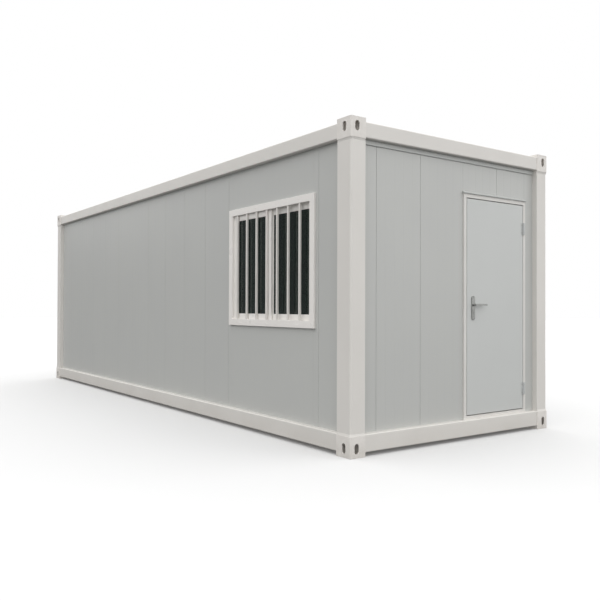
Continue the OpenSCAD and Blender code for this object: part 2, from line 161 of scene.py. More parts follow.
# A copy of a CAD node's mesh, merged and with its sharp edges rounded
def softCopy(name, node, width, segments=2):
    piece = bpy.data.objects.new(name, frame["nodes"][node].data.copy())
    bpy.context.collection.objects.link(piece)
    makeActive(piece)
    bpy.ops.mesh.customdata_custom_splitnormals_clear()
    pick(piece, "FACE", lambda middle, normal: True)
    bpy.ops.mesh.remove_doubles(threshold=0.01 * mm)
    bpy.ops.mesh.dissolve_limited(angle_limit=radians(0.5))
    bpy.ops.object.mode_set(mode="OBJECT")
    if width:
        soften(piece, width, segments)
    return piece


def copyPiece(piece, name, move=(0, 0, 0)):
    copy = bpy.data.objects.new(name, piece.data.copy())
    bpy.context.collection.objects.link(copy)
    copy.location = move
    applyPlace(copy)
    return copy


def joinPieces(name, pieces):
    deselectAll()
    for piece in pieces:
        piece.select_set(True)
    bpy.context.view_layer.objects.active = pieces[0]
    if len(pieces) > 1:
        bpy.ops.object.join()
    pieces[0].name = pieces[0].data.name = name
    return pieces[0]


def removePiece(piece):
    bpy.data.objects.remove(piece)


# Gives a piece its finish, hangs it on the body it moves with and hides the CAD nodes it stands for
def finishPiece(piece, body, slotName, material, *cadNodes):
    makeActive(piece)
    piece.data.materials.clear()
    piece.data.materials.append(material)
    bpy.ops.object.shade_smooth_by_angle(angle=radians(32))
    modify(piece, "WEIGHTED_NORMAL", keep_sharp=True, weight=90)
    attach(piece, body)
    if cadNodes:
        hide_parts(*cadNodes)
    return piece


# A CAD node whose shape is right keeps it, and gets its finish
def finishNode(name, material):
    mesh = frame["nodes"][name].data
    mesh.materials.clear()
    mesh.materials.append(material)


def linearColour(hexCode):
    parts = [int(hexCode[i:i + 2], 16) / 255 for i in (1, 3, 5)]
    return [p / 12.92 if p <= 0.04045 else ((p + 0.055) / 1.055) ** 2.4 for p in parts] + [1]


# Adds a node with its settings, its inputs' values and its links, each from (node, output)
def addNode(tree, kind, settings={}, values={}, links={}):
    node = tree.nodes.new(kind)
    for name, value in settings.items():
        setattr(node, name, value)
    for name, value in values.items():
        node.inputs[name].default_value = value
    for name, (source, output) in links.items():
        tree.links.new(source.outputs[output], node.inputs[name])
    return node


# A material with its even values on the shader, and the nodes that the patterns start from
def startMaterial(title, look):
    material = bpy.data.materials.new(title)
    material.use_nodes = True
    material.diffuse_color = linearColour(look["colour"])
    tree = material.node_tree
    shader = tree.nodes["Principled BSDF"]
    shader.inputs["Base Color"].default_value = linearColour(look["colour"])
    for name, value in look.get("shader", {}).items():
        shader.inputs[name].default_value = value
    place = addNode(tree, "ShaderNodeTexCoord")
    return material, tree, shader, place


# The finish of a painted, moulded or rolled surface: patches of a second tone, uneven gloss and
# a fine relief. Sizes are in millimetres. Stretch is how much longer the relief is along X, Y and Z.
def surfaceFinish(name, look):
    material, tree, shader, place = startMaterial(name, look)
    patches = addNode(tree, "ShaderNodeTexNoise", values={"Scale": 1000 / look["patch"], "Detail": 4.0},
                      links={"Vector": (place, "Object")})
    share = addNode(tree, "ShaderNodeMapRange", values={
        "From Min": 0.35, "From Max": 0.65, "To Min": 0.0, "To Max": look["share"]},
        links={"Value": (patches, "Fac")})
    tone = addNode(tree, "ShaderNodeMix", {"data_type": "RGBA"},
                   {6: linearColour(look["colour"]), 7: linearColour(look["second"])},
                   {0: (share, "Result")})
    if "dust" in look:  # settles on the lowest part, where rain splashes
        height = addNode(tree, "ShaderNodeSeparateXYZ", links={"Vector": (place, "Object")})
        splash = addNode(tree, "ShaderNodeMapRange", {"interpolation_type": "SMOOTHSTEP"}, {
            "From Min": 0.0, "From Max": look["dustHeight"] * mm,
            "To Min": look["dustShare"], "To Max": 0.0}, {"Value": (height, "Z")})
        uneven = addNode(tree, "ShaderNodeMath", {"operation": "MULTIPLY"}, {},
                         {0: (splash, "Result"), 1: (patches, "Fac")})
        tone = addNode(tree, "ShaderNodeMix", {"data_type": "RGBA"}, {7: linearColour(look["dust"])},
                       {0: (uneven, "Value"), 6: (tone, 2)})
    tree.links.new(tone.outputs[2], shader.inputs["Base Color"])
    gloss = addNode(tree, "ShaderNodeMapRange", values={
        "From Min": 0.3, "From Max": 0.7, "To Min": look["roughness"][0], "To Max": look["roughness"][1]},
        links={"Value": (patches, "Fac")})
    tree.links.new(gloss.outputs["Result"], shader.inputs["Roughness"])
    squeezed = addNode(tree, "ShaderNodeMapping", {"vector_type": "POINT"},
                       {"Scale": [1 / s for s in look.get("stretch", (1, 1, 1))]},
                       {"Vector": (place, "Object")})
    relief = addNode(tree, "ShaderNodeTexNoise", values={"Scale": 1000 / look["grain"], "Detail": 2.0},
                     links={"Vector": (squeezed, "Vector")})
    bump = addNode(tree, "ShaderNodeBump", values={"Strength": 1.0, "Distance": look["depth"] * mm},
                   links={"Height": (relief, "Fac")})
    tree.links.new(bump.outputs["Normal"], shader.inputs["Normal"])
    return material


# Powder-coated rolled steel: an even satin coat, faintly warm white, with a soft orange peel.
# The peel is 2 mm across on the real coat and is drawn at 14 mm, or it would not show.
powderCoatedSteel = surfaceFinish("powder_coated_steel", {
    "colour": "#dedbd6", "second": "#d8d5d0", "share": 0.5, "patch": 420,
    "dust": "#b3aca0", "dustHeight": 240, "dustShare": 0.35,
    "roughness": (0.34, 0.44), "grain": 14, "depth": 0.08})

# Cast steel under the same paint: the sand of the mould leaves it rougher and duller
paintedCasting = surfaceFinish("painted_cast_steel", {
    "colour": "#e6e2dd", "second": "#d9d5cf", "share": 0.5, "patch": 60,
    "dust": "#b0a89c", "dustHeight": 150, "dustShare": 0.4,
    "roughness": (0.40, 0.52), "grain": 11, "depth": 0.35})

# Pre-painted galvanised sheet on foam: cool grey, semi-gloss, with long shallow waves up the panel
prePaintedSheet = surfaceFinish("pre_painted_panel_sheet", {
    "colour": "#bfc0bd", "second": "#bbbcba", "share": 0.5, "patch": 900,
    "dust": "#aaa79e", "dustHeight": 420, "dustShare": 0.25,
    "roughness": (0.31, 0.34), "grain": 240, "depth": 0.06, "stretch": (1, 1, 5)})

# The door's own pre-painted sheet, a shade lighter and pressed flat on its core
doorSheet = surfaceFinish("pre_painted_door_sheet", {
    "colour": "#c9cbc9", "second": "#c4c6c4", "share": 0.5, "patch": 700,
    "dust": "#aaa79e", "dustHeight": 500, "dustShare": 0.25,
    "roughness": (0.33, 0.37), "grain": 200, "depth": 0.04, "stretch": (1, 1, 3)})

# Powder-coated aluminium trim of the door frame and the cover strips
coatedAluminium = surfaceFinish("powder_coated_aluminium", {
    "colour": "#dcdad6", "second": "#d2cfca", "share": 0.4, "patch": 260,
    "dust": "#aaa498", "dustHeight": 350, "dustShare": 0.3,
    "roughness": (0.32, 0.42), "grain": 12, "depth": 0.05})

# The same sheet folded into cover strips and flashings
trimSheet = surfaceFinish("pre_painted_trim_sheet", {
    "colour": "#bcbebb", "second": "#b7b9b7", "share": 0.5, "patch": 600,
    "roughness": (0.32, 0.38), "grain": 120, "depth": 0.04, "stretch": (6, 6, 1)})

# Hinges painted with the door, with the coat worn thin where they rub
hingePaint = surfaceFinish("painted_hinge_steel", {
    "colour": "#c3c5c4", "second": "#a6a8a8", "share": 0.4, "patch": 18,
    "roughness": (0.34, 0.46), "grain": 9, "depth": 0.05})

# Extruded PVC: bright white, smooth and slightly waxy
whitePvc = surfaceFinish("extruded_pvc", {
    "colour": "#efece8", "second": "#e8e5e0", "share": 0.35, "patch": 300,
    "roughness": (0.26, 0.34), "grain": 40, "depth": 0.03,
    "shader": {"Specular IOR Level": 0.55}})

# Painted plasterboard or sheet inside, matt
ceilingPaint = surfaceFinish("matt_ceiling_paint", {
    "colour": "#e6e5e1", "second": "#dcdad5", "share": 0.4, "patch": 500,
    "roughness": (0.55, 0.65), "grain": 8, "depth": 0.05})

# Moulded EPDM seals: black, dull and slightly grey where dust sits in the pores
sealRubber = surfaceFinish("epdm_seal_rubber", {
    "colour": "#1d1f20", "second": "#34373a", "share": 0.5, "patch": 30,
    "roughness": (0.6, 0.75), "grain": 3, "depth": 0.05})

# Roof sheet, pre-painted light grey and dulled by weather, with dust along it
roofPaint = surfaceFinish("weathered_roof_sheet", {
    "colour": "#c4c5c3", "second": "#babab6", "share": 0.5, "patch": 700,
    "roughness": (0.42, 0.5), "grain": 150, "depth": 0.1, "stretch": (3, 1, 1)})


# Satin stainless steel: ground along one direction, so its gloss is drawn out in fine lines.
# The grinding lines are 0.1 mm apart and are drawn at 0.8 mm.
def satinSteel(name, stretch):
    look = {"colour": "#a9aaa8", "shader": {"Metallic": 1.0}}
    material, tree, shader, place = startMaterial(name, look)
    squeezed = addNode(tree, "ShaderNodeMapping", values={"Scale": [1 / s for s in stretch]},
                       links={"Vector": (place, "Object")})
    lines = addNode(tree, "ShaderNodeTexNoise", values={"Scale": 1000 / 0.8, "Detail": 3.0},
                    links={"Vector": (squeezed, "Vector")})
    tone = addNode(tree, "ShaderNodeMix", {"data_type": "RGBA"},
                   {6: linearColour("#8f908e"), 7: linearColour("#bdbebb")}, {0: (lines, "Fac")})
    tree.links.new(tone.outputs[2], shader.inputs["Base Color"])
    gloss = addNode(tree, "ShaderNodeMapRange", values={
        "From Min": 0.3, "From Max": 0.7, "To Min": 0.24, "To Max": 0.36}, links={"Value": (lines, "Fac")})
    tree.links.new(gloss.outputs["Result"], shader.inputs["Roughness"])
    bump = addNode(tree, "ShaderNodeBump", values={"Distance": 0.01 * mm}, links={"Height": (lines, "Fac")})
    tree.links.new(bump.outputs["Normal"], shader.inputs["Normal"])
    return material


upSatinSteel = satinSteel("satin_stainless_upright", (1, 1, 60))
acrossSatinSteel = satinSteel("satin_stainless_lengthwise", (60, 1, 1))


# Hot-dip galvanised steel: a dull zinc skin broken into crystals about 14 mm across
def galvanisedSteel():
    material, tree, shader, place = startMaterial("galvanised_steel", {
        "colour": "#9ea1a2", "shader": {"Metallic": 0.85}})
    crystals = addNode(tree, "ShaderNodeTexVoronoi", values={"Scale": 1000 / 14},
                       links={"Vector": (place, "Object")})
    bright = addNode(tree, "ShaderNodeSeparateColor", links={"Color": (crystals, "Color")})
    tone = addNode(tree, "ShaderNodeMix", {"data_type": "RGBA"},
                   {6: linearColour("#8b8e90"), 7: linearColour("#b2b5b6")}, {0: (bright, "Red")})
    tree.links.new(tone.outputs[2], shader.inputs["Base Color"])
    gloss = addNode(tree, "ShaderNodeMapRange", values={"To Min": 0.38, "To Max": 0.6},
                    links={"Value": (bright, "Green")})
    tree.links.new(gloss.outputs["Result"], shader.inputs["Roughness"])
    return material


zincSteel = galvanisedSteel()


# Vinyl flooring printed as planks 180 mm by 1200 mm, with a shallow joint between them
def vinylFloor():
    material, tree, shader, place = startMaterial("printed_vinyl_floor", {"colour": "#9a9185"})
    turned = addNode(tree, "ShaderNodeMapping", values={"Rotation": (0, 0, pi / 2)},
                     links={"Vector": (place, "Object")})
    planks = addNode(tree, "ShaderNodeTexBrick", {"offset": 0.37}, {
        "Color1": linearColour("#a1978a"), "Color2": linearColour("#8e8578"),
        "Mortar": linearColour("#5d564d"), "Scale": 1.0, "Brick Width": 1.2, "Row Height": 0.18,
        "Mortar Size": 0.001, "Mortar Smooth": 0.3}, {"Vector": (turned, "Vector")})
    squeezed = addNode(tree, "ShaderNodeMapping", values={"Scale": (1, 1 / 12, 1)},
                       links={"Vector": (place, "Object")})
    grain = addNode(tree, "ShaderNodeTexNoise", values={"Scale": 1000 / 9, "Detail": 6.0},
                    links={"Vector": (squeezed, "Vector")})
    veins = addNode(tree, "ShaderNodeMapRange", values={
        "From Min": 0.4, "From Max": 0.7, "To Min": 0.0, "To Max": 0.45}, links={"Value": (grain, "Fac")})
    tone = addNode(tree, "ShaderNodeMix", {"data_type": "RGBA"}, {7: linearColour("#6f675c")},
                   {0: (veins, "Result"), 6: (planks, "Color")})
    tree.links.new(tone.outputs[2], shader.inputs["Base Color"])
    gloss = addNode(tree, "ShaderNodeMapRange", values={"To Min": 0.42, "To Max": 0.55},
                    links={"Value": (grain, "Fac")})
    tree.links.new(gloss.outputs["Result"], shader.inputs["Roughness"])
    bump = addNode(tree, "ShaderNodeBump", {"invert": True}, {"Distance": 0.4 * mm},
                   {"Height": (planks, "Fac")})
    tree.links.new(bump.outputs["Normal"], shader.inputs["Normal"])
    return material


# Tinted float glass under a thin film of dust, which keeps it from being quite clear
def tintedGlass():
    material, tree, shader, place = startMaterial("tinted_float_glass", {
        "colour": "#6f857d", "shader": {"Transmission Weight": 0.93, "IOR": 1.45}})
    haze = addNode(tree, "ShaderNodeTexNoise", values={"Scale": 1000 / 180, "Detail": 3.0},
                   links={"Vector": (place, "Object")})
    gloss = addNode(tree, "ShaderNodeMapRange", values={"To Min": 0.01, "To Max": 0.06},
                    links={"Value": (haze, "Fac")})
    tree.links.new(gloss.outputs["Result"], shader.inputs["Roughness"])
    return material


print("materials made")

finishNode("floor_board", vinylFloor())
finishNode("ceiling_board", ceilingPaint)
finishNode("window_glass", tintedGlass())
finishNode("floor_joists", zincSteel)
finishNode("roof_joists", zincSteel)
finishNode("floor_underside", zincSteel)
finishNode("strike_plate", upSatinSteel)

# The steel frame: cast corners, rolled posts and beams
steelFrame = {"castingRound": 4 * mm}
for node in ("bottom_castings", "top_castings"):
    piece = softCopy(node + "_cast", node, steelFrame["castingRound"], 3)
    finishPiece(piece, "cabin", "frame_paint", paintedCasting, node)
for node in frame["nodes"]:
    if node.startswith(("post_", "bottom_beam_", "top_beam_")):
        piece = softCopy(node + "_rolled", node, 0)
        finishPiece(piece, "cabin", "frame_paint", powderCoatedSteel, node)

# Fillet welds under the paint, where the posts stand in from the castings. One corner is modelled
# and mirrored.
weld = {"from": 1.8 * mm, "to": 6.2 * mm, "height": 18 * mm, "overlap": 1 * mm, "round": 12 * mm,
        "inside": 2 * mm}
postLow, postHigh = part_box("post_front_left")
welds = []
for end, away in ((postLow.z, 1), (postHigh.z, -1)):
    ends = sorted((end - away * weld["overlap"], end + away * weld["height"]))
    bead = startBox("weld_bead", (cadLow.x + weld["from"], cadLow.y + weld["from"], ends[0]),
                    (postHigh.x - weld["inside"], postHigh.y - weld["inside"], ends[1]))
    pick(bead, "EDGE", lambda middle, along: abs(along.z) > 0.9 and middle.x < postLow.x
         and middle.y < postLow.y)
    bpy.ops.mesh.bevel(offset=weld["round"], segments=6, affect="EDGES")
    bpy.ops.object.mode_set(mode="OBJECT")
    inner = postHigh - Vector((weld["inside"], weld["inside"], 0))
    sizes = [inner[i] - cadLow[i] - weld["from"] for i in (0, 1)]
    pick(bead, "FACE", lambda middle, normal: normal.z * away > 0.9)
    bpy.ops.transform.resize(value=[1 - (weld["to"] - weld["from"]) / size for size in sizes] + [1],
                             center_override=inner)
    leaveEdit()
    welds.append(bead)
for across, along in ((-1, 1), (1, -1), (-1, -1)):
    for bead in welds[:2]:
        mirrored = copyPiece(bead, "weld_bead")
        mirrored.scale = (across, along, 1)
        applyPlace(mirrored)
        pick(mirrored, "FACE", lambda middle, normal: True)
        leaveEdit()
        welds.append(mirrored)
finishPiece(joinPieces("casting_welds", welds), "cabin", "frame_paint", powderCoatedSteel)
print("steel frame made")

# Sandwich panels. Each has shallow grooves down both skins, chamfered edges, a tongue on one edge and
# a slot for the next one's tongue in the other.
wallPanel = {
    "longPitch": 484 * mm, "longStart": 473 * mm, "longRibs": 5,
    "endPitch": 485 * mm, "endStart": 307 * mm, "endRibs": 5,
    "seam": 2 * mm, "chamfer": 2 * mm, "thick": 50 * mm,
    "grooveWidth": 9 * mm, "grooveFloor": 4 * mm, "grooveDepth": 1.3 * mm,
    "tongue": 12 * mm, "tongueThick": 16 * mm, "tongueGap": 1 * mm,
    "edgeToGroove": 25 * mm,  # no groove is nearer to a panel's edge than this
    "narrowest": 40 * mm,  # no panel is cut narrower than this
    "mostSeams": 40,  # more seams than any wall has
}


# One panel from a to b along its wall, with grooves at every ribPitch from start
def ribbedPanel(name, a, b, start, ribPitch, low, high, firstOfRow, lastOfRow):
    w = wallPanel
    a += 0 if firstOfRow else w["seam"] / 2
    b -= 0 if lastOfRow else w["seam"] / 2
    piece = startBox(name, (a, 0, low), (b, w["thick"], high))
    first = int((a - start) // ribPitch)
    middles = [start + k * ribPitch for k in range(first, first + w["mostSeams"])]
    middles = [x for x in middles if a + w["edgeToGroove"] < x < b - w["edgeToGroove"]]
    cutAcross(piece, 0, [x + side * half / 2 for x in middles
                         for side in (-1, 1) for half in (w["grooveWidth"], w["grooveFloor"])])
    for skin, push in ((0, w["grooveDepth"]), (w["thick"], -w["grooveDepth"])):
        pick(piece, "FACE", lambda middle, normal: abs(normal.y) > 0.9 and abs(middle.y - skin) < tiny
             and any(abs(middle.x - x) < w["grooveFloor"] / 2 for x in middles))
        bpy.ops.transform.translate(value=(0, push, 0))
        bpy.ops.object.mode_set(mode="OBJECT")
    pick(piece, "EDGE", lambda middle, along: abs(along.z) > 0.9 and (
        middle.x < a + tiny or middle.x > b - tiny))
    bpy.ops.mesh.bevel(offset=w["chamfer"], segments=2, affect="EDGES")
    bpy.ops.object.mode_set(mode="OBJECT")
    half = w["tongueThick"] / 2
    cutAcross(piece, 1, [w["thick"] / 2 - half, w["thick"] / 2 + half])
    for side, shown, reach in ((b, not lastOfRow, w["tongue"]),
                               (a, not firstOfRow, w["tongue"] + w["tongueGap"])):
        if shown:
            pick(piece, "FACE", lambda middle, normal: abs(middle.x - side) < tiny
                 and abs(middle.y - w["thick"] / 2) < half)
            bpy.ops.mesh.extrude_region_move(TRANSFORM_OT_translate={"value": (reach, 0, 0)})
            bpy.ops.object.mode_set(mode="OBJECT")
    return piece


# The four sides. On each, x runs along the wall to the right, seen from outside, and y goes inwards.
wallSides = {
    "front": {"turn": 0, "corner": (cadLow.x, cadLow.y), "flip": False},
    "right": {"turn": pi / 2, "corner": (cadHigh.x, cadLow.y), "flip": False},
    "back": {"turn": pi, "corner": (cadHigh.x, cadHigh.y), "flip": True},
    "left": {"turn": -pi / 2, "corner": (cadLow.x, cadHigh.y), "flip": True},
}


def placeOnSide(piece, side):
    piece.rotation_euler.z = wallSides[side]["turn"]
    piece.location = (*wallSides[side]["corner"], 0)
    applyPlace(piece)


panelMasters = {}  # each size of panel is modelled once, from x = 0, and then copied


# A row of panels that stands for one CAD node: marks are the panels' edges along the wall
def panelRow(node, side, marks, low, high, start, pitch, ribs):
    total = cadHigh.x - cadLow.x if side in ("front", "back") else cadHigh.y - cadLow.y
    if wallSides[side]["flip"]:
        marks = [total - m for m in reversed(marks)]
        start = total - start
    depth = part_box("front_wall_left")[0].y - cadLow.y
    panels = []
    for k, (a, b) in enumerate(zip(marks, marks[1:])):
        ends = (k == 0, k == len(marks) - 2)
        key = (round(b - a, 5), round((a - start) % (pitch / ribs), 4), low, high, ends)
        if key not in panelMasters:
            panelMasters[key] = ribbedPanel("panel_master", 0, b - a, (start - a) % (pitch / ribs),
                                            pitch / ribs, low, high, *ends)
        panels.append(copyPiece(panelMasters[key], "panel_copy", (a, depth, 0)))
    row = joinPieces(node + "_panels", panels)
    placeOnSide(row, side)
    finishPiece(row, "cabin", "panel_paint", prePaintedSheet, node)


# The edges of the panels between a and b
def panelMarks(a, b, start, pitch):
    least = wallPanel["narrowest"]
    seams = [start + k * pitch for k in range(wallPanel["mostSeams"])]
    return [a] + [s for s in seams if a + least < s < b - least] + [b]


def wallSpan(node, side):
    low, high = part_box(node)
    if side in ("front", "back"):
        return low.x - cadLow.x, high.x - cadLow.x, low.z, high.z
    return low.y - cadLow.y, high.y - cadLow.y, low.z, high.z


for node in frame["nodes"]:
    if "_wall_" not in node:
        continue
    side = node.split("_")[0]
    a, b, low, high = wallSpan(node, side)
    if side in ("front", "back"):
        start, pitch, ribs = wallPanel["endStart"], wallPanel["endPitch"], wallPanel["endRibs"]
    else:
        start, pitch, ribs = wallPanel["longStart"], wallPanel["longPitch"], wallPanel["longRibs"]
    marks = panelMarks(a, b, start, pitch)
    if node in ("left_wall_under_window", "left_wall_over_window"):
        marks = [a, b]
    panelRow(node, side, marks, low, high, start, pitch, ribs)
for master in panelMasters.values():
    removePiece(master)
print("wall panels made")

# Folded trims in the wall's own grey, and the roof sheet, which is too thin to need rounding
for node, slotName, material, width in (
        ("wall_trims", "trim_paint", trimSheet, 1.2 * mm),
        ("roof_sheet", "roof_steel", roofPaint, 0)):
    piece = softCopy(node + "_made", node, width)
    finishPiece(piece, "cabin", slotName, material, node)

# Dome-headed screws for all the fittings: modelled once, facing -Y, with a cross-shaped drive
screw = {"radius": 4.5 * mm, "height": 2.2 * mm, "dome": 1.4 * mm, "sides": 20,
         "driveDeep": 1.2 * mm, "driveWide": 1 * mm, "driveShare": 0.55}


def startScrew():
    head = startCylinder("screw_master", (0, -screw["height"] / 2, 0), screw["radius"], screw["height"],
                         "Y", screw["sides"])
    pick(head, "EDGE", lambda middle, along: middle.y < -0.9 * screw["height"])
    bpy.ops.mesh.bevel(offset=screw["dome"], segments=3, affect="EDGES")
    leaveEdit()
    long, half = screw["radius"] * screw["driveShare"], screw["driveWide"] / 2
    cutter = startBox("drive", (-long, -2 * screw["height"], -half),
                      (long, -screw["height"] + screw["driveDeep"], half))
    crossed = copyPiece(cutter, "drive_crossed")
    crossed.rotation_euler.y = pi / 2
    applyPlace(crossed)
    for blade in (cutter, crossed):
        modify(head, "BOOLEAN", object=blade, operation="DIFFERENCE", solver="EXACT")
        removePiece(blade)
    return head


screwMaster = startScrew()


# Screws at the given places. Turn is the way their heads face, round Z from -Y.
def screwRow(name, places, turn=0, scale=1.0):
    row = []
    for place in places:
        one = copyPiece(screwMaster, "screw_copy")
        one.rotation_euler.z = turn
        one.scale = (scale, scale, scale)
        one.location = place
        applyPlace(one)
        row.append(one)
    return joinPieces(name, row)


# The door's joints give the hinge line and the lever's axis
joints = {joint["name"]: joint for joint in frame["record"]["behaviour"]["joints"]}
leverAt = Vector(joints["lever_pivot"]["pos_m"])
hingeAt = Vector(joints["door_hinge"]["pos_m"])

# Door leaf: two steel trays on a core. Each has a folded rim and a flat field set back a little from it.
doorLeaf = {"round": 2.5 * mm, "rim": 26 * mm, "fold": 4 * mm, "setBack": 1.2 * mm,
            "spindleHole": 12 * mm, "holeSpare": 10 * mm}
low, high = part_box("door_leaf")
leaf = startBox("door_leaf_sheet", low, high)
pick(leaf, "EDGE", lambda middle, along: True)
bpy.ops.mesh.bevel(offset=doorLeaf["round"], segments=3, affect="EDGES")
bpy.ops.object.mode_set(mode="OBJECT")
for facing in (-1, 1):
    pick(leaf, "FACE", lambda middle, normal: normal.y * facing > 0.99)
    bpy.ops.mesh.inset(thickness=doorLeaf["rim"])
    bpy.ops.mesh.inset(thickness=doorLeaf["fold"], depth=-doorLeaf["setBack"])
    bpy.ops.object.mode_set(mode="OBJECT")
spindleHole = startCylinder("spindle_hole", (leverAt.x, (low.y + high.y) / 2, leverAt.z),
                            doorLeaf["spindleHole"], high.y - low.y + 2 * doorLeaf["holeSpare"], "Y")
modify(leaf, "BOOLEAN", object=spindleHole, operation="DIFFERENCE", solver="EXACT")
removePiece(spindleHole)
finishPiece(leaf, "door", "door_paint", doorSheet, "door_leaf")

# Door frame of folded sheet, with a rubber seal along the stop
doorFrame = {"round": 2 * mm, "sealWide": 9 * mm, "sealThick": 4 * mm, "sealRound": 1.2 * mm,
             "leafToStop": 5.8 * mm, "sealIn": 1 * mm, "sealUp": 6 * mm, "sealSpare": 60 * mm}
piece = softCopy("door_frame_folded", "door_frame", doorFrame["round"], 3)
finishPiece(piece, "cabin", "trim_paint", coatedAluminium, "door_frame")
leafLow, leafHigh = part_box("door_leaf")
sillLow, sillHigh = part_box("door_sill")
sealBack = leafHigh.y + doorFrame["leafToStop"]
sealIn = doorFrame["sealIn"]
sealLow = Vector((sillLow.x + sealIn, sealBack - doorFrame["sealThick"], sillHigh.z))
sealHigh = Vector((sillHigh.x - sealIn, sealBack, leafHigh.z + doorFrame["sealUp"]))
# the ring is made longer than it should be, and its lowest side is cut off at the sill
seal = startRing("door_seal", sealLow - Vector((0, 0, doorFrame["sealSpare"])), sealHigh,
                 doorFrame["sealWide"], 1)
cutAcross(seal, 2, [sealLow.z + sealIn])
pick(seal, "FACE", lambda middle, normal: middle.z < sealLow.z + 0.9 * sealIn)
bpy.ops.mesh.delete(type="FACE")
bpy.ops.mesh.select_all(action="SELECT")
bpy.ops.mesh.region_to_loop()
bpy.ops.mesh.edge_face_add()
leaveEdit()
soften(seal, doorFrame["sealRound"])
finishPiece(seal, "cabin", "hardware_steel", sealRubber)

# Sill: a folded step with three raised treads along it
doorSill = {"treads": 3, "treadWide": 8 * mm, "treadPitch": 16 * mm, "firstTread": 8 * mm, "groove": 1 * mm}
sill = startBox("door_sill_treads", sillLow, sillHigh)
places = [sillLow.y + doorSill["firstTread"] + k * doorSill["treadPitch"] + side * doorSill["treadWide"] / 2
          for k in range(doorSill["treads"]) for side in (-1, 1)]
cutAcross(sill, 1, places)
pick(sill, "FACE", lambda middle, normal: normal.z > 0.9 and places[0] < middle.y < places[-1] and not any(
    abs(middle.y - (a + b) / 2) < tiny for a, b in zip(places[::2], places[1::2])))
bpy.ops.transform.translate(value=(0, 0, -doorSill["groove"]))
leaveEdit()
finishPiece(sill, "cabin", "trim_paint", coatedAluminium, "door_sill")

# Drip cap: a folded strip whose top slopes outwards
dripCap = {"fall": 11 * mm, "round": 1.2 * mm}
capLow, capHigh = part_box("drip_cap")
cap = startBox("drip_cap_folded", capLow, capHigh)
pick(cap, "EDGE", lambda middle, along: abs(along.x) > 0.9 and middle.y < capLow.y + tiny
     and middle.z > capHigh.z - tiny)
bpy.ops.transform.translate(value=(0, 0, -dripCap["fall"]))
leaveEdit()
soften(cap, dripCap["round"])
finishPiece(cap, "cabin", "trim_paint", trimSheet, "drip_cap")

# Hinges: painted plates with small dome-headed screws, and a pin
hinge = {"round": 0.8 * mm, "high": 112 * mm, "screwBeside": 18 * mm, "screwDeep": 3 * mm,
         "screwRows": (20 * mm, 92 * mm), "screwScale": 0.8}
for node, body, side in (("frame_hinges", "cabin", 1), ("door_hinges", "door", -1)):
    piece = softCopy(node + "_made", node, hinge["round"], 2)
    finishPiece(piece, body, "hardware_steel", hingePaint, node)
    low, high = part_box(node)
    places = [(hingeAt.x + side * hinge["screwBeside"], high.y - hinge["screwDeep"], base + row)
              for base in (low.z, high.z - hinge["high"]) for row in hinge["screwRows"]]
    screws = screwRow(node + "_screws", places, 0, hinge["screwScale"])
    finishPiece(screws, body, "hardware_steel", upSatinSteel)

# Lock plates: satin steel with a screw at each end and a key cylinder below the lever
lockPlate = {"round": 2.2 * mm, "screwIn": 10 * mm, "screwScale": 0.8,
             "cylinderBelow": 72 * mm, "cylinderRadius": 8.5 * mm, "cylinderLong": 3 * mm,
             "cylinderRim": 1.6 * mm, "cylinderDish": 0.8 * mm,
             "keySlotWide": 1.4 * mm, "keySlotBelow": (76 * mm, 67 * mm), "keySlotDeep": 4 * mm}
piece = softCopy("lock_plates_pressed", "lock_plates", lockPlate["round"], 3)
finishPiece(piece, "door", "hardware_steel", upSatinSteel, "lock_plates")
plateLow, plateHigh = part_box("lock_plates")
leverX = (plateLow.x + plateHigh.x) / 2
keyParts = []
for face, facing in ((plateLow.y, -1), (plateHigh.y, 1)):
    key = startCylinder("key_cylinder", (leverX, face, leverAt.z - lockPlate["cylinderBelow"]),
                        lockPlate["cylinderRadius"], lockPlate["cylinderLong"], "Y", 40)
    pick(key, "FACE", lambda middle, normal: normal.y * facing > 0.9)
    bpy.ops.mesh.inset(thickness=lockPlate["cylinderRim"])
    bpy.ops.mesh.extrude_region_move(
        TRANSFORM_OT_translate={"value": (0, -facing * lockPlate["cylinderDish"], 0)})
    leaveEdit()
    half, deep = lockPlate["keySlotWide"] / 2, lockPlate["keySlotDeep"]
    lowest, highest = (leverAt.z - below for below in lockPlate["keySlotBelow"])
    slot = startBox("key_slot", (leverX - half, face - deep, lowest), (leverX + half, face + deep, highest))
    modify(key, "BOOLEAN", object=slot, operation="DIFFERENCE", solver="EXACT")
    removePiece(slot)
    keyParts.append(key)
    places = [(leverX, face, z) for z in (plateLow.z + lockPlate["screwIn"],
                                          plateHigh.z - lockPlate["screwIn"])]
    keyParts.append(screwRow("plate_screws", places, 0 if facing < 0 else pi, lockPlate["screwScale"]))
finishPiece(joinPieces("key_cylinders", keyParts), "door", "hardware_steel", acrossSatinSteel)

# Lever: turned neck and a bar with rounded edges
doorLever = {"round": 3.5 * mm}
piece = softCopy("door_lever_cast", "door_lever", doorLever["round"], 4)
finishPiece(piece, "lever", "hardware_steel", acrossSatinSteel, "door_lever")
print("door made")

